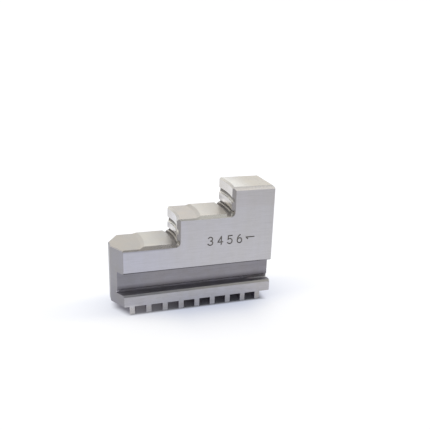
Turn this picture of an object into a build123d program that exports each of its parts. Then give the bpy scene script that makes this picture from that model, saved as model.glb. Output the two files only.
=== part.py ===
from build123d import *
import math
import os

os.makedirs("parts", exist_ok=True)

# Hard outside jaw of a three-jaw scroll chuck, one solid, in millimetres.
# +X runs along the jaw, away from the chuck's axis, +Y across it, +Z up from the scroll to the steps.
# The origin is under the middle of the jaw, on the plane of the tooth tips.

# scroll teeth
scroll_pitch = 8.0
tooth_count = 9
tooth_height = 4.2
tooth_end_width = 2.5       # thickness where a tooth meets the side of the jaw
tooth_outer_radius = 36.0   # convex flank, tighter than the scroll's smallest turn
tooth_inner_radius = 100.0  # concave flank, wider than the scroll's largest turn
tooth_chamfer = 0.4
first_tooth_x = 7.5         # from the nose to the first tooth's edge, at the side

# plan
jaw_length = 79.3
jaw_width = 22.6
nose_flat = 5.0
nose_angle = 60.0           # between each nose face and the jaw's length

# heights of the rail, the guide grooves and the stepped body
rail_thickness = 5.8
rail_chamfer = 0.85
groove_height = 11.0
groove_depth = 4.4
groove_lip_chamfer = 0.6
relief_height = 1.7         # undercut at the foot of each guide groove
relief_depth = 0.7
nose_step_height = 11.9     # from the grooves up to the first step
step_height = 13.05
step_length = 27.0
riser_x = 30.75             # from the nose to the lower riser

# step details
edge_chamfer = 1.5
inner_fillet = 0.9
seat_height = 0.8           # ground seat beside each riser, above the rest of its step
seat_length = 14.5
seat_radius = 40.0
seat_ramp = 1.7             # length of the slope from a seat's arc down to its step
grip_radius = 36.0          # lower gripping face; the upper one shares its axis
grip_edge_chamfer = 0.9
slot_below_top = 5.1        # from a riser's top down to the slot across its gripping face
slot_height = 2.6
slot_depth = 1.2
foot_cut_height = 1.65      # grinding relief cut into the riser's foot
foot_cut_depth = 1.4
seat_cut_width = 2.1        # grinding relief cut down into the seat
seat_cut_depth = 1.2
seat_cut_gap = 0.4
nose_edge_chamfer = 0.4
end_chamfer = 1.0

# tied values
nose_x = -jaw_length / 2
end_x = jaw_length / 2
half_width = jaw_width / 2
nose_depth = (half_width - nose_flat / 2) / math.tan(math.radians(nose_angle))
rail_bottom = tooth_height
rail_top = rail_bottom + rail_thickness
body_bottom = rail_top + groove_height
first_step = body_bottom + nose_step_height
top_face = first_step + 2 * step_height + seat_height
riser_faces = [nose_x + riser_x, nose_x + riser_x + step_length]
step_planes = [first_step, first_step + step_height]
seat_planes = [plane + seat_height for plane in step_planes]
riser_tops = [step_planes[1], top_face]
chord_half = half_width - edge_chamfer
grip_sagitta = grip_radius - math.sqrt(grip_radius ** 2 - chord_half ** 2)
chuck_axis_x = riser_faces[0] + grip_sagitta - grip_radius
slot_round = (slot_height ** 2 / 4 + slot_depth ** 2) / (2 * slot_depth)
clear = 2.0                 # how far cutting tools run past the solid
near = 0.01                 # how far off its place a picked edge may lie


def prism_along_y(points, half_span):
    """A side-view outline in X and Z, carried across the jaw."""
    outline = Plane.XZ * make_face(Polyline(*points, close=True))
    return extrude(outline, amount=half_span, both=True)


def prism_along_z(points, bottom, top):
    """A plan outline in X and Y, carried up from one height to another."""
    outline = Plane.XY.offset(bottom) * make_face(Polyline(*points, close=True))
    return extrude(outline, amount=top - bottom)


def span_box(low, high):
    """A box between two opposite corners."""
    size = [b - a for a, b in zip(low, high)]
    middle = [(a + b) / 2 for a, b in zip(low, high)]
    return Pos(*middle) * Box(*size)


def upright_disc(centre_x, radius, bottom, top):
    """A disc standing on a level plane, with its centre in the jaw's mid plane."""
    return Pos(centre_x, 0, (bottom + top) / 2) * Cylinder(radius, top - bottom)


# Stepped body as a side view, with small fillets in its two inner corners.
side_view = [
    (nose_x, rail_bottom),
    (end_x, rail_bottom),
    (end_x, top_face),
    (riser_faces[1], top_face),
    (riser_faces[1], seat_planes[1]),
    (riser_faces[0], seat_planes[1]),
    (riser_faces[0], seat_planes[0]),
    (nose_x, seat_planes[0]),
]
jaw = prism_along_y(side_view, half_width)
inner_corners = [(riser_faces[i], seat_planes[i]) for i in (0, 1)]
corner_edges = [
    edge
    for edge in jaw.edges().filter_by(Axis.Y)
    if any(abs(edge.center().X - x) < near and abs(edge.center().Z - z) < near for x, z in inner_corners)
]
jaw = fillet(corner_edges, inner_fillet)

# One chamfer follows the stepped outline along both sides.
outline_edges = [
    edge
    for edge in jaw.edges()
    if abs(abs(edge.center().Y) - half_width) < near
    and edge.center().Z > seat_planes[0] - near
    and edge.center().X < end_x - near
]
jaw = chamfer(outline_edges, edge_chamfer)

# Plan outline: a blunt wedge at the nose, so that the jaws of a set meet in the middle.
plan = [
    (nose_x, -nose_flat / 2),
    (nose_x + nose_depth, -half_width),
    (end_x, -half_width),
    (end_x, half_width),
    (nose_x + nose_depth, half_width),
    (nose_x, nose_flat / 2),
]
jaw = jaw & prism_along_z(plan, rail_bottom - clear, top_face + clear)

# Each step is lowered up to an arc, where a short slope rises to the ground seat beside the riser.
ramp_height = seat_height + clear
ramp_tool = Cone(seat_radius - seat_ramp, seat_radius + seat_ramp * clear / seat_height, ramp_height)
for face_x, step_plane in zip(riser_faces, step_planes):
    jaw -= Pos(face_x - seat_length - seat_radius, 0, step_plane + ramp_height / 2) * ramp_tool

# Gripping faces ground round the chuck's axis, with a bevelled top edge, a slot and two relief cuts.
for face_x, seat_plane, riser_top in zip(riser_faces, seat_planes, riser_tops):
    radius = math.hypot(face_x - chuck_axis_x, chord_half)
    jaw -= upright_disc(chuck_axis_x, radius, seat_plane, riser_top + seat_height + clear)
    bevel_height = grip_edge_chamfer + clear
    bevel = Cone(radius, radius + bevel_height, bevel_height)
    jaw -= Pos(chuck_axis_x, 0, riser_top - grip_edge_chamfer + bevel_height / 2) * bevel
    slot_middle = riser_top - slot_below_top - slot_height / 2
    jaw -= Pos(chuck_axis_x, 0, slot_middle) * Torus(radius + slot_depth - slot_round, slot_round)
    jaw -= upright_disc(chuck_axis_x, radius + foot_cut_depth, seat_plane, seat_plane + foot_cut_height)
    ring_radius = radius - seat_cut_gap
    ring_bottom = seat_plane - seat_cut_depth
    seat_cut = upright_disc(chuck_axis_x, ring_radius, ring_bottom, seat_plane + clear)
    seat_cut -= upright_disc(chuck_axis_x, ring_radius - seat_cut_width, ring_bottom, seat_plane + clear)
    jaw -= seat_cut

# Guide grooves along both sides, with an undercut at the foot, a bevelled lip and a bevelled rail.
groove_wall = half_width - groove_depth
groove_view = [
    (groove_wall, rail_top + relief_height),
    (groove_wall, body_bottom),
    (half_width - groove_lip_chamfer, body_bottom),
    (half_width, body_bottom + groove_lip_chamfer),
    (half_width + clear, body_bottom + groove_lip_chamfer),
    (half_width + clear, rail_top - rail_chamfer),
    (half_width, rail_top - rail_chamfer),
    (half_width - rail_chamfer, rail_top),
    (groove_wall - relief_depth, rail_top),
    (groove_wall - relief_depth, rail_top + relief_height - relief_depth),
]
groove_face = Plane.YZ.offset(nose_x - clear) * make_face(Polyline(*groove_view, close=True))
groove = extrude(groove_face, amount=jaw_length + 2 * clear)
jaw -= groove
jaw -= mirror(groove, about=Plane.XZ)

# Small bevels round the top of the nose and along the top of the outer end.
nose_edges = [
    edge
    for edge in jaw.edges()
    if abs(edge.center().Z - first_step) < near and edge.center().X < nose_x + nose_depth / 2
]
jaw = chamfer(nose_edges, nose_edge_chamfer)
end_view = [
    (end_x - end_chamfer, top_face),
    (end_x + clear, top_face - end_chamfer - clear),
    (end_x + clear, top_face + clear),
    (end_x - end_chamfer, top_face + clear),
]
jaw -= prism_along_y(end_view, half_width + clear)

# Scroll teeth: crescents with both flanks curved the same way, thickest in the jaw's mid plane.
outer_bulge = tooth_outer_radius - math.sqrt(tooth_outer_radius ** 2 - half_width ** 2)
inner_bulge = tooth_inner_radius - math.sqrt(tooth_inner_radius ** 2 - half_width ** 2)
for index in range(tooth_count):
    side_x = nose_x + first_tooth_x + index * scroll_pitch
    inner_x = side_x + inner_bulge
    outer_x = side_x + tooth_end_width + outer_bulge
    tooth = span_box((side_x - clear, -half_width, 0), (outer_x + clear, half_width, rail_bottom))
    tooth &= upright_disc(outer_x - tooth_outer_radius, tooth_outer_radius, -clear, rail_bottom + clear)
    tooth -= upright_disc(inner_x - tooth_inner_radius, tooth_inner_radius, -clear, rail_bottom + clear)
    tip_edges = tooth.faces().sort_by(Axis.Z)[0].edges().filter_by(GeomType.CIRCLE)
    jaw += chamfer(tip_edges, tooth_chamfer)

jaw = jaw.clean()
solids = jaw.solids()
print("solids:", len(solids), "volume cm3:", round(jaw.volume / 1000, 2), "valid:", jaw.is_valid)
print("box:", jaw.bounding_box())
jaw = solids[0]
jaw.label = "jaw"
export_step(jaw, "parts/jaw.step")
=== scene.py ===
import math

import bmesh
import bpy
import numpy as np
from mathutils import Euler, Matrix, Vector


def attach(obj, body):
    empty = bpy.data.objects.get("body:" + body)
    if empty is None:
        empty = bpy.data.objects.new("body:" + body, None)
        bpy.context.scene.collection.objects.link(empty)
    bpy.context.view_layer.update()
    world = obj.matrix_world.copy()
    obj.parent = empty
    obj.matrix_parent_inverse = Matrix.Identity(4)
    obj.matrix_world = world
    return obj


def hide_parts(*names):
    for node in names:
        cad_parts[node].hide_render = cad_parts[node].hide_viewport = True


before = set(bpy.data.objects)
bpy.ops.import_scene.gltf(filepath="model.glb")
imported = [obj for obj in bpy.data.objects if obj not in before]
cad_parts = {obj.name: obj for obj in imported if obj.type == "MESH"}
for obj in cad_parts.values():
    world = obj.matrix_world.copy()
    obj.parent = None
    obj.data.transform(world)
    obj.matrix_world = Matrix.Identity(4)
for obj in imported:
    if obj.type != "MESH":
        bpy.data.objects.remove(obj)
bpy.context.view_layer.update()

scene = bpy.context.scene
scene.view_settings.view_transform = "Standard"
mm = 0.001


# Small helpers for node trees.

def newNode(tree, kind, **values):
    # values named after sockets are set on them, the rest are the node's own properties
    node = tree.nodes.new(kind)
    for name, value in values.items():
        socketName = name.replace("_", " ").title()
        if socketName in node.inputs:
            node.inputs[socketName].default_value = value
        else:
            setattr(node, name, value)
    return node


def mathNode(tree, operation, first, second=None, third=None):
    node = tree.nodes.new("ShaderNodeMath")
    node.operation = operation
    for socket, value in zip(node.inputs, (first, second, third)):
        if value is None:
            continue
        if isinstance(value, (int, float)):
            socket.default_value = value
        else:
            tree.links.new(value, socket)
    return node.outputs[0]


def smoothShare(tree, source, start, stop):
    # 0 where the source is at start and 1 where it is at stop, both in millimetres
    node = newNode(tree, "ShaderNodeMapRange", interpolation_type="SMOOTHSTEP",
                   from_min=start * mm, from_max=stop * mm)
    tree.links.new(source, node.inputs["Value"])
    return node.outputs["Result"]


def scaled(tree, vector, amount):
    # a color, fixed or from a node, times an amount
    node = newNode(tree, "ShaderNodeVectorMath", operation="SCALE")
    if isinstance(vector, tuple):
        node.inputs[0].default_value = vector
    else:
        tree.links.new(vector, node.inputs[0])
    tree.links.new(amount, node.inputs["Scale"])
    return node.outputs[0]


# Many fades are painted light and shade, such as highlights, reflections and shade in hollows; each such fade
# is marked where it stands.
# Steel finishes and painted light.
# Each finish is the same procedural steel with its own values. Lengths are in millimetres.
# patch and grain are how strong the soft patches and the tool marks are, and tint colors the patches.
# patchSize and grainSize are how long they are, as one number or along X, Y and Z: the small one is across.
# unevenness is how far the tool marks move the roughness, where that isn't the amount in steelValues.
# Each fade multiplies the color along an axis, from 1 at its first place to its factor at its second one.
# A second axis with two places, where given, limits it: no effect at the first, all of it at the second.
# DEPTH is how far a point lies behind the nearest gripping face, round the chuck's axis.

slotMilled = {
    "color": (0.64, 0.63, 0.60), "roughness": 0.45, "patch": 0.08, "tint": (1.03, 1.0, 0.95),
    "patchSize": 4.0, "grain": 0.08, "grainSize": (0.3, 9.0, 0.3), "bump": 0.10,
}
# painted shade: the slots darken deeper behind the gripping face, under the overhang of their top edge
slotShade = ("DEPTH", 0.55, 1.12, (0.30, 0.29, 0.29))

finishesAndPaintedLight = {
    "sideGround": {
        "color": (0.515, 0.505, 0.523), "roughness": 0.36, "patch": 0.05, "tint": (0.985, 0.99, 1.02),
        "patchSize": (4.5, 4.5, 16.0), "grain": 0.08, "grainSize": (9.0, 9.0, 0.8), "bump": 0.10,
        "fades": (("X", 6, -32, (0.955, 0.97, 1.04)), ("X", 14, 38, (0.985, 0.985, 0.97)),
                  ("Z", 24, 58, (0.965, 0.965, 0.965)), ("Z", 49.9, 50.4, (0.975, 0.965, 0.955)),
                  ("Z", 31.3, 32.1, (0.72, 0.72, 0.73), "X", -10, -14)),
    },
    "noseMilled": {
        "color": (0.334, 0.325, 0.331), "roughness": 0.40, "patch": 0.06, "tint": (0.97, 0.98, 1.05),
        "patchSize": 7.0, "grain": 0.07, "grainSize": (9.0, 9.0, 0.30), "bump": 0.12,
        "fades": (("Z", 17, 9, (0.94, 0.93, 0.92)),),
    },
    "stepLower": {
        "color": (0.389, 0.369, 0.341), "roughness": 0.38, "patch": 0.05, "tint": (1.03, 1.0, 0.95),
        "patchSize": 6.0, "grain": 0.06, "grainSize": (0.25, 14.0, 14.0), "bump": 0.08,
    },
    "stepUpper": {
        "color": (0.442, 0.419, 0.391), "roughness": 0.38, "patch": 0.05, "tint": (1.03, 1.0, 0.95),
        "patchSize": 6.0, "grain": 0.06, "grainSize": (0.25, 14.0, 14.0), "bump": 0.08,
    },
    "seatLower": {
        "color": (0.463, 0.449, 0.417), "roughness": 0.34, "patch": 0.04, "tint": (1.02, 1.0, 0.96),
        "patchSize": 7.0, "grain": 0.02, "grainSize": (0.7, 20.0, 20.0), "bump": 0.01, "unevenness": 0.04,
        # painted highlight: the lower seat is lighter along its near edge and fades darker toward the riser
        "fades": (("X", -23, -11, (0.80, 0.79, 0.80)), ("Y", -7, -9.6, (1.06, 1.06, 1.06))),
    },
    "seatUpper": {
        "color": (0.527, 0.505, 0.465), "roughness": 0.34, "patch": 0.04, "tint": (1.02, 1.0, 0.96),
        "patchSize": 7.0, "grain": 0.02, "grainSize": (0.7, 20.0, 20.0), "bump": 0.01, "unevenness": 0.04,
        # painted highlight and shade: the upper seat is lighter toward the nose and darker toward the riser's
        # foot
        "fades": (("X", 3, 13, (0.83, 0.825, 0.82)), ("X", 12.5, 15.5, (0.9, 0.9, 0.9))),
    },
    "seatRamp": {
        "color": (0.418, 0.401, 0.375), "roughness": 0.40, "patch": 0.05, "tint": (1.03, 1.0, 0.95),
        "patchSize": 5.0, "grain": 0.05, "grainSize": (14.0, 0.3, 14.0), "bump": 0.08,
    },
    "topGround": {
        "color": (0.658, 0.65, 0.62), "roughness": 0.30, "patch": 0.05, "tint": (1.02, 1.0, 0.96),
        "patchSize": 8.0, "grain": 0.04, "grainSize": (0.2, 20.0, 20.0), "bump": 0.04,
        # painted highlight: the top face is lighter at its gripping-face end and darker and warmer toward the
        # outer end; it is also a little darker toward the back and along its near edge
        "fades": (("X", 19, 31, (0.738, 0.70, 0.642)), ("Y", -3, 6, (0.97, 0.965, 0.96)),
                  ("Y", -8.2, -9.8, (0.84, 0.84, 0.85))),
    },
    "gripLower": {
        "color": (0.635, 0.617, 0.603), "roughness": 0.22, "patch": 0.05, "tint": (0.98, 0.99, 1.03),
        "patchSize": 6.0, "grain": 0.06, "grainSize": (12.0, 12.0, 0.18), "bump": 0.06,
        # painted reflections: the lower gripping face is lighter at its foot, where the seat is mirrored, a
        # little darker toward its top, and dark at its far lower corner
        "fades": (("Z", 37, 45.5, (0.93, 0.935, 0.95)), ("Z", 37.5, 35.5, (1.25, 1.24, 1.22)),
                  ("Y", 5, 10, (0.65, 0.65, 0.66), "Z", 38.5, 37.3)),
    },
    "gripUpper": {
        "color": (0.555, 0.53, 0.50), "roughness": 0.22, "patch": 0.05, "tint": (0.98, 0.99, 1.03),
        "patchSize": 6.0, "grain": 0.06, "grainSize": (12.0, 12.0, 0.18), "bump": 0.06,
        # painted reflections: the upper gripping face is lighter at its foot, where the seat is mirrored, most
        # toward the near side, dark at its far foot, a little lighter above the slot and darker along its near
        # edge
        "fades": (("Z", 51.0, 48.6, (1.45, 1.44, 1.4)),
                  ("Z", 50.6, 49.3, (1.25, 1.25, 1.2), "Y", 2.5, -1.5),
                  ("Z", 51.3, 50.0, (0.62, 0.63, 0.65), "Y", 3, 8.5),
                  ("Z", 53.2, 54.2, (1.09, 1.09, 1.09)),
                  ("Y", -9.1, -9.8, (0.5, 0.5, 0.51))),
    },
    "gripBevel": {
        "color": (0.465, 0.447, 0.415), "roughness": 0.25, "patch": 0.05, "tint": (1.02, 1.0, 0.97),
        "patchSize": 6.0, "grain": 0.06, "grainSize": (0.3, 9.0, 0.3), "bump": 0.06,
    },
    # The three level chamfers are one finish; their colors, darkest at the lowest step and lightest at the top,
    # are partly painted reflection.
    "chamferLow": {
        "color": (0.34, 0.323, 0.31), "roughness": 0.28, "patch": 0.08, "tint": (1.03, 1.0, 0.96),
        "patchSize": 5.0, "grain": 0.06, "grainSize": (8.0, 0.3, 0.3), "bump": 0.08,
        "fades": (("X", -12.0, -11.6, (0.78, 0.78, 0.78)), ("X", -9.4, -8.6, (2.5, 2.5, 2.5))),
    },
    "chamferMiddle": {
        "color": (0.471, 0.461, 0.43), "roughness": 0.28, "patch": 0.06, "tint": (1.02, 1.0, 0.97),
        "patchSize": 5.0, "grain": 0.06, "grainSize": (8.0, 0.3, 0.3), "bump": 0.08,
        "fades": (("X", 3, -1, (0.78, 0.78, 0.79)),),
    },
    "chamferTop": {
        "color": (0.52, 0.50, 0.48), "roughness": 0.28, "patch": 0.06, "tint": (1.02, 1.0, 0.97),
        "patchSize": 5.0, "grain": 0.06, "grainSize": (8.0, 0.3, 0.3), "bump": 0.08,
        "fades": (("Z", 59.1, 59.6, (0.88, 0.89, 0.9)), ("Z", 59.1, 58.7, (1.08, 1.08, 1.08))),
    },
    "chamferRiser": {
        "color": (0.292, 0.277, 0.273), "roughness": 0.32, "patch": 0.08, "tint": (0.98, 0.99, 1.03),
        "patchSize": 4.0, "grain": 0.06, "grainSize": (0.3, 0.3, 6.0), "bump": 0.08,
    },
    "neckRaw": {
        "color": (0.270, 0.259, 0.276), "roughness": 0.36, "patch": 0.08, "tint": (0.98, 0.99, 1.03),
        "patchSize": 6.0, "grain": 0.12, "grainSize": (14.0, 0.25, 0.25), "bump": 0.12,
        # painted shade: the neck is a little lighter above and darkens toward its foot, where the dark rail top
        # is mirrored under the body's overhang; it is also darker toward both ends
        "fades": (("Z", 17, 14.3, (1.06, 1.06, 1.06)), ("Z", 14.3, 12, (0.68, 0.67, 0.68)),
                  ("X", -16, -32, (0.89, 0.91, 0.94)), ("X", 24, 36, (0.93, 0.93, 0.94))),
    },
    "reliefRaw": {
        "color": (0.53, 0.51, 0.545), "roughness": 0.42, "patch": 0.10, "tint": (0.98, 0.99, 1.03),
        "patchSize": 6.0, "grain": 0.12, "grainSize": (14.0, 0.25, 0.25), "bump": 0.12,
        # painted shade: the undercut darkens toward the outer end
        "fades": (("X", 24, 33, (0.42, 0.41, 0.40)),),
    },
    "railTop": {
        "color": (0.31, 0.297, 0.318), "roughness": 0.65, "patch": 0.10, "tint": (0.98, 0.99, 1.03),
        "patchSize": 6.0, "grain": 0.12, "grainSize": (14.0, 0.25, 0.25), "bump": 0.12,
        # painted highlight: a bright sliver along the rail top's inner edge near the outer end, where light
        # comes in over the open end
        "fades": (("X", 27, 33, (4.0, 3.9, 3.6), "Y", -8.3, -7.4),),
    },
    # painted shade: the lower slot is also darker toward its bottom on the near side, and the upper slot toward
    # both its edges there
    "slotLower": {
        **slotMilled,
        "fades": (slotShade, ("Z", 39.6, 38.8, (0.6, 0.59, 0.59), "Y", -5.5, -9.0)),
    },
    "slotUpper": {
        **slotMilled,
        "fades": (slotShade, ("Z", 53.3, 54.0, (0.6, 0.59, 0.58), "Y", -7.5, -9),
                  ("Z", 53.3, 52.6, (0.6, 0.59, 0.59), "Y", -7, -9)),
    },
    # painted light: the rib at the foot of each gripping face is pale to stand in for the light it catches; its
    # fades paint shade in the cut behind the face and toward both sides, with a lighter patch in the cut on the
    # near side
    "ribPaintedLight": {
        "color": (0.88, 0.85, 0.80), "roughness": 0.62, "patch": 0.08, "tint": (1.02, 1.0, 0.97),
        "patchSize": 3.0, "grain": 0.08, "grainSize": (0.3, 6.0, 0.3), "bump": 0.05,
        "fades": (("DEPTH", 0.25, 1.0, (0.45, 0.45, 0.45)),
                  ("Y", -5.8, -7.5, (0.25, 0.25, 0.25), "DEPTH", 0.35, 0.05),
                  ("DEPTH", 0.4, 0.9, (2.1, 2.1, 2.1), "Y", -6.2, -7.4),
                  ("Y", 7.5, 10.5, (0.45, 0.45, 0.45))),
    },
    "cutRaw": {
        "color": (0.335, 0.32, 0.312), "roughness": 0.45, "patch": 0.10, "tint": (1.03, 1.0, 0.95),
        "patchSize": 4.0, "grain": 0.10, "grainSize": (0.3, 9.0, 0.3), "bump": 0.12,
        "fades": (("X", 5, -5, (0.70, 0.70, 0.70), "Y", -2, -7),
                  ("DEPTH", -2.1, -2.45, (1.9, 1.9, 1.9), "Y", -6.5, -8.5)),
    },
    "railGround": {
        "color": (0.464, 0.456, 0.471), "roughness": 0.38, "patch": 0.07, "tint": (0.98, 0.99, 1.03),
        "patchSize": (4.0, 4.0, 3.0), "grain": 0.10, "grainSize": (6.0, 6.0, 0.6), "bump": 0.12,
        "fades": (("X", -16, -28, (0.93, 0.93, 0.95)), ("X", 15, 36, (1.01, 0.995, 0.98)),
                  # painted highlight: the fade limited by Z makes the rail's lower part and the first tooth
                  # lighter at the nose end
                  ("Z", 4.8, 2.5, (0.99, 0.97, 0.91)), ("X", -25, -31, (1.26, 1.26, 1.22), "Z", 5.5, 4.2),
                  ("Z", 1.6, 0.5, (1.25, 1.25, 1.25))),
    },
    "railChamfer": {
        "color": (0.31, 0.312, 0.33), "roughness": 0.34, "patch": 0.08, "tint": (1.02, 1.0, 0.97),
        "patchSize": 5.0, "grain": 0.08, "grainSize": (9.0, 0.3, 0.3), "bump": 0.10,
        # painted highlight: the rail's chamfer grows lighter and warmer toward the outer end
        "fades": (("X", -32, 36, (1.6, 1.55, 1.4)),),
    },
    "toothMilled": {
        "color": (0.55, 0.515, 0.575), "roughness": 0.42, "patch": 0.08, "tint": (0.98, 0.99, 1.04),
        "patchSize": 4.0, "grain": 0.10, "grainSize": (8.0, 8.0, 0.25), "bump": 0.14,
    },
    "edgeWorn": {
        "color": (0.58, 0.575, 0.565), "roughness": 0.28, "patch": 0.08, "tint": (1.02, 1.0, 0.97),
        "patchSize": 3.0, "grain": 0.10, "grainSize": (1.5, 1.5, 1.5), "bump": 0.05,
    },
    "stampDark": {
        "color": (0.19, 0.183, 0.178), "roughness": 0.55, "patch": 0.20, "tint": (1.05, 1.0, 0.94),
        "patchSize": 1.2, "grain": 0.15, "grainSize": (0.3, 0.3, 0.3), "bump": 0.15,
    },
}

chuckAxis = -43.54              # X of the axis that the gripping faces are ground round
gripRadii = (36.0, 62.41)

steelValues = {
    "contrast": 4.0,            # noise stays within about a quarter of its middle, so this widens it
    "tintContrast": 3.0,
    "speckSize": 0.35,          # fine specks among the tool marks, as strong as the grain
    "unevenness": 0.22,         # how far the tool marks move the roughness
    "patchUnevenness": 0.12,    # and how far the patches do
    "markDepth": 0.03,
    # detail and roughness of each noise
    "patchNoise": (3.0, 0.6), "markNoise": (4.0, 0.65), "speckNoise": (2.0, 0.5),
}


def makeSteel(name):
    # color = base x (1 + patch x clouds + grain x tool marks), and the same marks move roughness and bump
    look, usual = finishesAndPaintedLight[name], steelValues
    material = bpy.data.materials.new(name)
    material.use_nodes = True
    tree = material.node_tree
    shader = tree.nodes["Principled BSDF"]
    shader.inputs["Metallic"].default_value = 1.0
    place = newNode(tree, "ShaderNodeTexCoord").outputs["Object"]
    parts = newNode(tree, "ShaderNodeSeparateXYZ")
    tree.links.new(place, parts.inputs[0])

    def along(axis):
        if axis != "DEPTH":
            return parts.outputs[axis]
        offset = mathNode(tree, "SUBTRACT", parts.outputs["X"], chuckAxis * mm)
        squares = mathNode(tree, "MULTIPLY_ADD", parts.outputs["Y"], parts.outputs["Y"],
                           mathNode(tree, "MULTIPLY", offset, offset))
        reach = mathNode(tree, "SQRT", squares)
        lower, upper = [mathNode(tree, "SUBTRACT", reach, radius * mm) for radius in gripRadii]
        atUpper = mathNode(tree, "GREATER_THAN", reach, sum(gripRadii) / 2 * mm)
        return mathNode(tree, "MULTIPLY_ADD", atUpper, mathNode(tree, "SUBTRACT", upper, lower), lower)

    def noise(size, detail, roughness):
        # noise of a size along X, Y and Z, with its middle at 0
        mapping = newNode(tree, "ShaderNodeMapping", scale=[1 / (s * mm) for s in np.broadcast_to(size, 3)])
        tree.links.new(place, mapping.inputs["Vector"])
        pattern = newNode(tree, "ShaderNodeTexNoise", scale=1.0, detail=detail, roughness=roughness)
        tree.links.new(mapping.outputs[0], pattern.inputs["Vector"])
        return mathNode(tree, "SUBTRACT", pattern.outputs["Fac"], 0.5)

    clouds = noise(look["patchSize"], *usual["patchNoise"])
    marks = noise(look["grainSize"], *usual["markNoise"])
    specks = noise(usual["speckSize"], *usual["speckNoise"])
    amount = mathNode(tree, "MULTIPLY_ADD", clouds, usual["contrast"] * look["patch"], 1.0)
    amount = mathNode(tree, "MULTIPLY_ADD", marks, usual["contrast"] * look["grain"], amount)
    amount = mathNode(tree, "MULTIPLY_ADD", specks, look["grain"], amount)

    tinting = newNode(tree, "ShaderNodeMix", data_type="RGBA")
    tinting.inputs["A"].default_value = (*look["color"], 1.0)
    tinted = [c * t for c, t in zip(look["color"], look["tint"])]
    tinting.inputs["B"].default_value = (*tinted, 1.0)
    tintShare = mathNode(tree, "MULTIPLY_ADD", clouds, usual["tintContrast"], 0.5)
    tree.links.new(tintShare, tinting.inputs["Factor"])
    color = scaled(tree, tinting.outputs["Result"], amount)

    # fades, many of them painted light and shade, multiply the color one after another
    for axis, start, stop, factor, *limit in look.get("fades", ()):
        share = smoothShare(tree, along(axis), start, stop)
        if limit:
            limitAxis, none, full = limit
            share = mathNode(tree, "MULTIPLY", share, smoothShare(tree, along(limitAxis), none, full))
        blend = newNode(tree, "ShaderNodeMix", data_type="RGBA")
        blend.inputs["A"].default_value = (1.0, 1.0, 1.0, 1.0)
        blend.inputs["B"].default_value = (*factor, 1.0)
        tree.links.new(share, blend.inputs["Factor"])
        product = newNode(tree, "ShaderNodeVectorMath", operation="MULTIPLY")
        tree.links.new(color, product.inputs[0])
        tree.links.new(blend.outputs["Result"], product.inputs[1])
        color = product.outputs[0]
    tree.links.new(color, shader.inputs["Base Color"])

    unevenness = look.get("unevenness", usual["unevenness"])
    rough = mathNode(tree, "MULTIPLY_ADD", marks, unevenness, look["roughness"])
    rough = mathNode(tree, "MULTIPLY_ADD", clouds, usual["patchUnevenness"], rough)
    tree.links.new(rough, shader.inputs["Roughness"])
    bump = newNode(tree, "ShaderNodeBump", strength=look["bump"], distance=usual["markDepth"] * mm)
    tree.links.new(marks, bump.inputs["Height"])
    tree.links.new(bump.outputs[0], shader.inputs["Normal"])
    return material


steelNames = list(finishesAndPaintedLight)
steels = [makeSteel(name) for name in steelNames]
print("finishes made:", len(steels))


# Jaw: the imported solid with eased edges.

jawValues = {
    "edgeRound": 0.09,      # width of the small round on every edge
    "edgeSteps": 3,
    "edgeAngle": 26.0,      # degrees; flatter joins are parts of one curved face
    "mergeDistance": 0.001,
    "mergeAngle": 0.4,      # degrees; faces that join flatter than this become one
    "faceWeight": 100,      # from 50, where shading is even, to 100, where it leans to the larger face
    # places of the solid's own faces, in millimetres
    "halfWidth": 11.3, "outerEnd": 39.65,
    "noseEnd": -32.5,       # X that the middle of each nose face stays short of
    "toothTop": 4.2, "railTop": 10.0, "railBevel": 1.0,
    "reliefHeight": 1.69,   # from the rail up to just under the top of the undercut
    "bodyBottom": 21.0, "lipHeight": 0.7,
    "stepPlanes": (32.9, 45.95), "seatPlanes": (33.7, 46.75), "topFace": 59.8,
    "footHeight": 1.0,      # from a seat up to where its gripping face can start
    "slotBelow": 6.4,       # from a riser's top down to the middle of its slot
    "slotHalf": 1.3,        # half of a slot's height
}

# Limits by which a face gets its steel: places in millimetres, and how far a face looks along an axis,
# from 0, square to it, to 1, straight along it.
pickValues = {
    "flat": 0.99, "near": 0.05,         # straight along an axis, and on a plane
    "halfway": 0.6,                     # least along both axes, for a bevel between them
    "noseOut": -0.4,
    "chamferAcross": (0.3, 0.95), "chamferUp": 0.35, "chamferDrop": 1.6,
    "levelRise": 3.0,                   # from a step up to where the next level's chamfers start
    "endBevel": 1.1,
    "rampUp": (0.80, 0.97),
    "ribReach": 1.6,                    # how far in front of a gripping face the rib at its foot can lie
    "gripReach": 0.3, "gripOut": -0.85,
    "slotReach": 1.3, "slotOut": 0.3, "slotAcross": 0.6,
    "bevelReach": 2.0, "bevelRise": 1.0, "bevelUp": (0.5, 0.9), "bevelOut": -0.5, "bevelAcross": 0.5,
}


def between(values, low, high):
    return (values > low) & (values < high)


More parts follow.
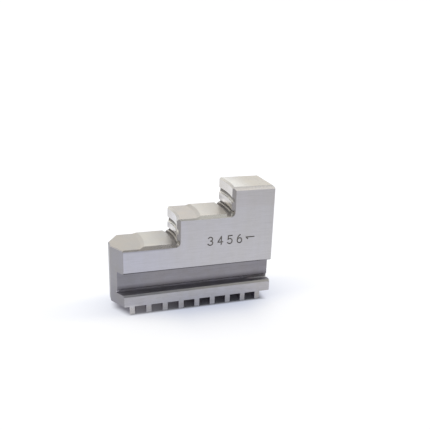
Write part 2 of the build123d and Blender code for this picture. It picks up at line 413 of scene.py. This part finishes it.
def pickSteel(centre, normal):
    # which steel a face takes, from where it is in millimetres and which way it looks
    value, limit = jawValues, pickValues
    flat, near = limit["flat"], limit["near"]
    x, y, z = centre.T
    out, across, up = normal[:, 0], np.abs(normal[:, 1]), normal[:, 2]
    index = np.full(len(centre), steelNames.index("cutRaw"))

    def put(rule, name):
        index[rule] = steelNames.index(name)

    side = (across > flat) & (np.abs(y) > value["halfWidth"] - near)
    upper = z > value["bodyBottom"] - near
    put(z < value["bodyBottom"] + value["lipHeight"], "neckRaw")
    put(z < value["railTop"] + value["reliefHeight"], "reliefRaw")
    put((z < value["railTop"] + near) & (up > flat), "railTop")
    railEdge = between(z, value["railTop"] - value["railBevel"], value["railTop"])
    put(railEdge & (across > limit["halfway"]) & (up > limit["halfway"]), "railChamfer")
    put(z < value["toothTop"] + near, "toothMilled")
    put(side & upper, "sideGround")
    put(side & ~upper, "railGround")
    put((out > flat) & (x > value["outerEnd"] - near), "sideGround")
    put((x < value["noseEnd"]) & (out < limit["noseOut"]) & (z > value["toothTop"]), "noseMilled")

    lowStep, highStep = value["stepPlanes"]
    slanted = between(across, *limit["chamferAcross"]) & (z > lowStep - limit["chamferDrop"])
    put(slanted, "chamferRiser")
    level = slanted & (up > limit["chamferUp"])
    put(level, "chamferLow")
    put(level & (z > lowStep + limit["levelRise"]), "chamferMiddle")
    put(level & (z > highStep + limit["levelRise"]), "chamferTop")
    endEdge = (out > limit["halfway"]) & (up > limit["halfway"])
    put(endEdge & (z > value["topFace"] - limit["endBevel"]), "chamferTop")
    put((up > flat) & (np.abs(z - value["topFace"]) < near), "topGround")

    riserTops = (highStep, value["topFace"])
    steps = zip(value["stepPlanes"], value["seatPlanes"], riserTops, gripRadii, ("Lower", "Upper"))
    for step, seat, riserTop, gripRadius, which in steps:
        beyond = np.hypot(x - chuckAxis, y) - gripRadius        # how far behind the gripping face
        fromSlot = np.abs(riserTop - value["slotBelow"] - z)    # how far above or below the slot's middle
        onSeat = (up > flat) & (np.abs(z - seat) < near)
        put((up > flat) & (np.abs(z - step) < near), "step" + which)
        put(between(up, *limit["rampUp"]) & between(z, step, seat), "seatRamp")
        put(onSeat, "seat" + which)
        put(onSeat & (beyond > -limit["ribReach"]), "ribPaintedLight")

        slot = between(beyond, -limit["gripReach"], limit["slotReach"])
        slot &= fromSlot < value["slotHalf"] + near
        put(slot & (out < limit["slotOut"]) & (across < limit["slotAcross"]), "slot" + which)
        grip = between(beyond, -limit["gripReach"], limit["gripReach"])
        grip &= between(z, seat + value["footHeight"], riserTop) & (fromSlot > value["slotHalf"])
        put(grip & (out < limit["gripOut"]), "grip" + which)
        bevel = between(beyond, -limit["gripReach"], limit["bevelReach"])
        bevel &= (np.abs(riserTop - z) < limit["bevelRise"]) & between(up, *limit["bevelUp"])
        put(bevel & (out < limit["bevelOut"]) & (across < limit["bevelAcross"]), "gripBevel")
    return index


def applyModifiers(piece, name):
    # the piece's mesh becomes what its modifiers make of it
    bpy.context.view_layer.update()
    graph = bpy.context.evaluated_depsgraph_get()
    mesh = bpy.data.meshes.new_from_object(piece.evaluated_get(graph), depsgraph=graph)
    mesh.name = name
    piece.modifiers.clear()
    piece.data = mesh


def makeJaw():
    # a copy of the imported solid: its flat faces are made whole and given their steel, then edges are rounded
    value = jawValues
    mesh = bpy.data.meshes.new("jawSteel")
    work = bmesh.new()
    work.from_mesh(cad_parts["jaw"].data)
    bmesh.ops.remove_doubles(work, verts=work.verts, dist=value["mergeDistance"] * mm)
    bmesh.ops.dissolve_limit(work, angle_limit=math.radians(value["mergeAngle"]),
                             verts=work.verts, edges=work.edges)
    work.to_mesh(mesh)
    work.free()
    for steel in steels:
        mesh.materials.append(steel)
    count = len(mesh.polygons)
    centre, normal = np.empty(3 * count), np.empty(3 * count)
    mesh.polygons.foreach_get("center", centre)
    mesh.polygons.foreach_get("normal", normal)
    picked = pickSteel(centre.reshape(-1, 3) / mm, normal.reshape(-1, 3))
    mesh.polygons.foreach_set("material_index", picked.astype(np.int32))
    piece = bpy.data.objects.new("jawSteel", mesh)
    scene.collection.objects.link(piece)
    bevel = piece.modifiers.new("easedEdges", "BEVEL")
    bevel.width = value["edgeRound"] * mm
    bevel.segments = value["edgeSteps"]
    bevel.limit_method = "ANGLE"
    bevel.angle_limit = math.radians(value["edgeAngle"])
    bevel.use_clamp_overlap = True
    bevel.material = steelNames.index("edgeWorn")
    applyModifiers(piece, "jawSteelMesh")
    return piece


jaw = makeJaw()
print("jaw eased:", len(jaw.data.polygons), "faces")


# Stamped numbers on the near side.

stampValues = {
    "text": "3456",
    "left": 6.1, "bottom": 31.9, "advance": 4.95,   # X and Z of the first number's lower left corner
    "height": 4.1, "width": 2.5,
    "sideText": "1", "sideLeft": 25.6, "sideBottom": 33.15,
    "strokeWidth": 0.6, "depth": 0.24,
    # profile of the groove: places across it in half widths, and how deep it is there in depths
    "profile": (-1.1, -1.0, -0.45, 0.45, 1.0, 1.1), "profileDepth": (-0.6, 0.0, 1.0, 1.0, 0.0, -0.6),
    "tip": (1.0, 0.85, 0.55, 0.2),      # how far past its ends a stroke is rounded off, in half widths
    "tipNarrow": 0.02,                  # square of the least width that it keeps there
}


def arc(cx, cz, rx, rz, start, end, count=15):
    # points (cx + rx cos t, cz + rz sin t) for t from start to end, in degrees
    turn = np.radians(np.linspace(start, end, count))
    return np.stack([cx + rx * np.cos(turn), cz + rz * np.sin(turn)], axis=1)


def line(*points):
    return np.array(points, float)


# Each number is a list of strokes in a box 1 wide and 1 tall.
strokes = {
    "1": [line((0.18, 0.78), (0.55, 1.0)), line((0.55, 1.0), (0.55, 0.0))],
    "3": [arc(0.46, 0.755, 0.42, 0.245, 155, -80), arc(0.44, 0.265, 0.50, 0.265, 85, -155)],
    "4": [line((0.70, 1.0), (0.02, 0.30)), line((0.02, 0.30), (1.0, 0.30)), line((0.70, 1.0), (0.70, 0.0))],
    "5": [line((0.92, 1.0), (0.16, 1.0)), line((0.16, 1.0), (0.10, 0.54)),
          arc(0.44, 0.32, 0.50, 0.32, 132, -150)],
    "6": [arc(0.50, 0.31, 0.46, 0.31, 0, 360, 29), arc(0.74, 0.36, 0.70, 0.66, 100, 178)],
}


def grooveStroke(path):
    # a closed profile (s, v) is carried along the path p(t) in the XZ plane:
    # point = p(t) + s w(t) n(t) in the plane, and v into the jaw, where w(t) rounds both ends off
    value = stampValues
    half = value["strokeWidth"] / 2
    ring = np.allclose(path[0], path[-1])
    tip = np.array(value["tip"])
    step = np.diff(path, axis=0)
    if ring:
        path = path[:-1]
        wide = np.ones(len(path))
        along = np.roll(path, -1, axis=0) - np.roll(path, 1, axis=0)
    else:
        head, tail = step[0] / np.linalg.norm(step[0]), step[-1] / np.linalg.norm(step[-1])
        narrow = np.sqrt(np.clip(1 - tip ** 2, value["tipNarrow"], 1))
        wide = np.concatenate([narrow, np.ones(len(path)), narrow[::-1]])
        before = path[0] - half * tip[:, None] * head
        after = path[-1] + half * tip[::-1, None] * tail
        path = np.concatenate([before, path, after])
        along = np.gradient(path, axis=0)
    along /= np.linalg.norm(along, axis=1)[:, None]
    across = np.stack([-along[:, 1], along[:, 0]], axis=1)
    s = half * np.array(value["profile"])
    v = value["depth"] * np.array(value["profileDepth"])
    grid = path[:, None, :] + (wide[:, None] * s)[:, :, None] * across[:, None, :]
    deep = v * np.where(v > 0, np.sqrt(wide)[:, None], 1.0)
    points = np.stack([grid[..., 0], -jawValues["halfWidth"] + deep, grid[..., 1]], axis=-1)
    rows, columns = points.shape[:2]
    i, j = np.meshgrid(np.arange(rows - (not ring)), np.arange(columns), indexing="ij")
    n, k = (i + 1) % rows, (j + 1) % columns
    quads = np.stack([i * columns + j, n * columns + j, n * columns + k, i * columns + k], axis=-1)
    faces = quads.reshape(-1, 4).tolist()
    if not ring:
        faces += [list(range(columns)), [(rows - 1) * columns + c for c in reversed(range(columns))]]
    mesh = bpy.data.meshes.new("grooveStroke")
    mesh.from_pydata(points.reshape(-1, 3) * mm, [], faces)
    mesh.materials.append(steels[steelNames.index("stampDark")])
    work = bmesh.new()
    work.from_mesh(mesh)
    bmesh.ops.recalc_face_normals(work, faces=work.faces)
    work.to_mesh(mesh)
    work.free()
    return mesh


def stampPaths():
    # the strokes of all numbers, as paths in X and Z on the side
    value = stampValues
    size = np.array([value["width"], value["height"]])
    for order, letter in enumerate(value["text"]):
        corner = np.array([value["left"] + order * value["advance"], value["bottom"]])
        for stroke in strokes[letter]:
            yield corner + stroke * size
    for stroke in strokes[value["sideText"]]:    # turned a quarter, with its top to the left
        turned = np.stack([1 - stroke[:, 1], stroke[:, 0]], axis=1)
        yield np.array([value["sideLeft"], value["sideBottom"]]) + turned * size[::-1]


def cutStamps(piece):
    # each stroke is cut out of the piece and leaves its dark finish in the groove
    cutters = []
    for path in stampPaths():
        cutter = bpy.data.objects.new("cutter", grooveStroke(path))
        scene.collection.objects.link(cutter)
        cut = piece.modifiers.new("stroke", "BOOLEAN")
        cut.operation = "DIFFERENCE"
        cut.solver = "EXACT"
        cut.material_mode = "TRANSFER"
        cut.object = cutter
        cutters.append(cutter)
    applyModifiers(piece, "jawSteelStamped")
    for cutter in cutters:
        bpy.data.objects.remove(cutter)


cutStamps(jaw)
print("numbers stamped:", len(jaw.data.polygons), "faces")


def shadeJaw(piece):
    # curved faces are smooth, and only the rims of the stamped grooves stay sharp;
    # normals lean to the larger face, so that flat faces stay flat up to their rounds
    mesh = piece.data
    dark = [place for place, steel in enumerate(mesh.materials) if steel.name == "stampDark"]
    work = bmesh.new()
    work.from_mesh(mesh)
    for edge in work.edges:
        kinds = {face.material_index in dark for face in edge.link_faces}
        edge.smooth = len(kinds) == 1
    for face in work.faces:
        face.smooth = True
    work.to_mesh(mesh)
    work.free()
    weighted = piece.modifiers.new("flatFaces", "WEIGHTED_NORMAL")
    weighted.weight = jawValues["faceWeight"]
    weighted.keep_sharp = True
    applyModifiers(piece, "jawSteelShaded")


shadeJaw(jaw)
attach(jaw, "root")
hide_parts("jaw")
print("jaw placed")


# Floor, backdrop and light.

studioValues = {
    # the floor, in metres: radii of its flat rings, then the wall and how wide the bend up to it is
    "flatRings": (0.4, 1.0), "wallRadius": 2.6, "wallHeight": 0.95, "wallBend": 0.5,
    "around": 96, "bendPoints": 13,
    "paperColor": (0.305, 0.316, 0.34),
    "underJaw": 0.9,        # painted shade: how much of that color the paper keeps between the teeth
    # places on the paper, in millimetres: the outline of the nose from above, the last tooth and the side
    "noseTip": -39.65, "noseFlat": 2.5, "noseSlope": 0.577, "teethEnd": 34.3, "teethSide": 11.3,
    # where the painted contact shadow under the jaw turns into the open floor, from each of those outwards
    "noseFade": (-5.3, 0.4), "endFade": (-1.0, 4.5), "sideFade": (-0.6, 1.8),
    "sideBlend": 10,        # how softly the way past the side starts
    # white that the paper has far away, how much of it is taken away at the teeth as a bluish painted shadow,
    # and how fast it comes back
    "lift": (0.761, 0.753, 0.747), "paintedShadowColor": (0.376, 0.338, 0.229),
    "paintedShadowReach": 12.1, "paintedShadowPower": 1.35,
    # X of the part of the jaw where the painted shadow is full, its fall past each end, and how that grows in
    # front
    "paintedShadowSpan": (-3.2, 22.3), "paintedShadowTaper": (0.29, 0.43), "taperGrowth": 0.067,
    # painted light between the teeth: white that the paper adds under the jaw, from the nose to the middle
    "gapColor": (0.97, 0.93, 1.0), "gapPaintedLight": (0.12, 0.009), "gapSpan": (-36.0, 5.0),
    "roomColor": (0.97, 0.98, 1.0), "roomStrength": 0.28,
}


def makePaper():
    # pale paper that turns into even white away from the object; what it adds is seen but lights nothing. Near
    # the jaw it adds less white, a painted shadow, and under the jaw only a little, painted light between the
    # teeth.
    value = studioValues
    material = bpy.data.materials.new("stagePaper")
    material.use_nodes = True
    tree = material.node_tree
    tree.nodes.clear()
    rays = newNode(tree, "ShaderNodeLightPath")
    seen = mathNode(tree, "MAXIMUM", rays.outputs["Is Camera Ray"], rays.outputs["Is Glossy Ray"])
    seen = mathNode(tree, "MAXIMUM", seen, rays.outputs["Is Transmission Ray"])
    place = newNode(tree, "ShaderNodeSeparateXYZ")
    tree.links.new(newNode(tree, "ShaderNodeTexCoord").outputs["Object"], place.inputs[0])

    # how far a point is past the place that the jaw covers, which stays dark as a painted contact shadow: nose,
    # outer end and side
    fromMiddle = mathNode(tree, "ABSOLUTE", place.outputs["Y"])
    pastFlat = mathNode(tree, "SUBTRACT", fromMiddle, value["noseFlat"] * mm)
    pastFlat = mathNode(tree, "MAXIMUM", pastFlat, 0.0)
    outline = mathNode(tree, "MULTIPLY_ADD", pastFlat, value["noseSlope"], value["noseTip"] * mm)
    pastNose = mathNode(tree, "SUBTRACT", outline, place.outputs["X"])
    pastEnd = mathNode(tree, "SUBTRACT", place.outputs["X"], value["teethEnd"] * mm)
    pastSide = mathNode(tree, "SUBTRACT", fromMiddle, value["teethSide"] * mm)
    sideways = mathNode(tree, "SMOOTH_MAX", pastSide, 0.0, value["sideBlend"] * mm)
    isOpen = mathNode(tree, "MAXIMUM", smoothShare(tree, pastNose, *value["noseFade"]),
                      smoothShare(tree, pastEnd, *value["endFade"]))
    isOpen = mathNode(tree, "MAXIMUM", isOpen, smoothShare(tree, pastSide, *value["sideFade"]))

    # the painted shadow is exp(-(r / reach)^power), where r is sqrt(side^2 + end^2)
    # and end is the way past one end of the span x (taper + growth x side)
    left, right = [edge * mm for edge in value["paintedShadowSpan"]]
    ends = [mathNode(tree, "MAXIMUM", mathNode(tree, "SUBTRACT", left, place.outputs["X"]), 0.0),
            mathNode(tree, "MAXIMUM", mathNode(tree, "SUBTRACT", place.outputs["X"], right), 0.0)]
    ends = [mathNode(tree, "MULTIPLY", end,
                     mathNode(tree, "MULTIPLY_ADD", sideways, value["taperGrowth"] / mm, taper))
            for end, taper in zip(ends, value["paintedShadowTaper"])]
    endways = mathNode(tree, "ADD", *ends)
    away = mathNode(tree, "MULTIPLY_ADD", sideways, sideways, mathNode(tree, "MULTIPLY", endways, endways))
    away = mathNode(tree, "DIVIDE", mathNode(tree, "SQRT", away), value["paintedShadowReach"] * mm)
    away = mathNode(tree, "POWER", away, value["paintedShadowPower"])
    paintedShadow = mathNode(tree, "EXPONENT", mathNode(tree, "MULTIPLY", away, -1.0))

    lift = newNode(tree, "ShaderNodeVectorMath", operation="SUBTRACT")
    lift.inputs[0].default_value = value["lift"]
    tree.links.new(scaled(tree, value["paintedShadowColor"], paintedShadow), lift.inputs[1])
    inward = smoothShare(tree, place.outputs["X"], *value["gapSpan"])
    nearNose, further = value["gapPaintedLight"]
    inGap = mathNode(tree, "MULTIPLY_ADD", inward, further - nearNose, nearNose)
    tone = newNode(tree, "ShaderNodeMix", data_type="RGBA")
    tree.links.new(scaled(tree, value["gapColor"], inGap), tone.inputs["A"])
    tree.links.new(lift.outputs[0], tone.inputs["B"])
    tree.links.new(isOpen, tone.inputs["Factor"])
    shade = mathNode(tree, "MULTIPLY_ADD", isOpen, 1 - value["underJaw"], value["underJaw"])
    paper = newNode(tree, "ShaderNodeBsdfDiffuse")
    tree.links.new(scaled(tree, value["paperColor"], shade), paper.inputs["Color"])
    glow = newNode(tree, "ShaderNodeEmission")
    tree.links.new(tone.outputs["Result"], glow.inputs["Color"])
    tree.links.new(seen, glow.inputs["Strength"])
    both = newNode(tree, "ShaderNodeAddShader")
    tree.links.new(paper.outputs[0], both.inputs[0])
    tree.links.new(glow.outputs[0], both.inputs[1])
    output = newNode(tree, "ShaderNodeOutputMaterial")
    tree.links.new(both.outputs[0], output.inputs["Surface"])
    return material


def makeStage():
    # floor and backdrop are one profile turned round Z: flat, a quarter round, then straight up
    value = studioValues
    bend = np.linspace(0, np.pi / 2, value["bendPoints"])
    rings, wall, soft = value["flatRings"], value["wallRadius"], value["wallBend"]
    radius = np.concatenate([rings, wall - soft + soft * np.sin(bend), [wall]])
    height = np.concatenate([np.zeros(len(rings)), soft - soft * np.cos(bend), [value["wallHeight"]]])
    count = value["around"]
    turn = np.linspace(0, 2 * np.pi, count, endpoint=False)
    ring = np.stack(np.broadcast_arrays(
        radius[:, None] * np.cos(turn), radius[:, None] * np.sin(turn), height[:, None],
    ), axis=-1).reshape(-1, 3)
    points = np.concatenate([[[0.0, 0.0, 0.0]], ring])
    i, j = np.meshgrid(np.arange(len(radius) - 1), np.arange(count), indexing="ij")
    k = (j + 1) % count
    quads = 1 + np.stack([i * count + j, (i + 1) * count + j, (i + 1) * count + k, i * count + k], axis=-1)
    faces = quads.reshape(-1, 4).tolist() + [[0, 1 + c, 1 + (c + 1) % count] for c in range(count)]
    mesh = bpy.data.meshes.new("stageFloor")
    mesh.from_pydata(points, [], faces)
    mesh.polygons.foreach_set("use_smooth", np.ones(len(mesh.polygons), bool))
    mesh.materials.append(makePaper())
    floor = bpy.data.objects.new("stageFloor", mesh)
    scene.collection.objects.link(floor)


makeStage()

world = bpy.data.worlds.new("studio")
scene.world = world
world.use_nodes = True
sky = world.node_tree.nodes["Background"]
sky.inputs["Color"].default_value = (*studioValues["roomColor"], 1.0)
sky.inputs["Strength"].default_value = studioValues["roomStrength"]

lamps = {
    # place, target and size in metres, power in watts
    "overheadPanel": {
        "place": (0.0, 1.12, 1.0), "target": (0.0, 1.12, 0.0), "size": (5.0, 3.0), "power": 56.0,
    },
}


def makeLamps():
    for name, value in lamps.items():
        light = bpy.data.lights.new(name, "AREA")
        light.shape = "RECTANGLE"
        light.size, light.size_y = value["size"]
        light.energy = value["power"]
        lamp = bpy.data.objects.new(name, light)
        lamp.location = value["place"]
        aim = Vector(value["target"]) - Vector(value["place"])
        lamp.rotation_euler = aim.to_track_quat("-Z", "Y").to_euler()
        scene.collection.objects.link(lamp)


makeLamps()
print("studio lit")


# Camera.

cameraValues = {
    "lens": 43.711,
    "place": (-0.065919, -0.233559, 0.124301),
    "turn": (71.7785, -1.6912, -18.1106),     # degrees
    "sensorWidth": 36.0, "clipStart": 0.01,
}

lens = bpy.data.cameras.new("camera")
lens.lens = cameraValues["lens"]
lens.sensor_width = cameraValues["sensorWidth"]
lens.clip_start = cameraValues["clipStart"]
camera = bpy.data.objects.new("camera", lens)
camera.location = cameraValues["place"]
camera.rotation_euler = Euler([math.radians(angle) for angle in cameraValues["turn"]])
scene.collection.objects.link(camera)
scene.camera = camera
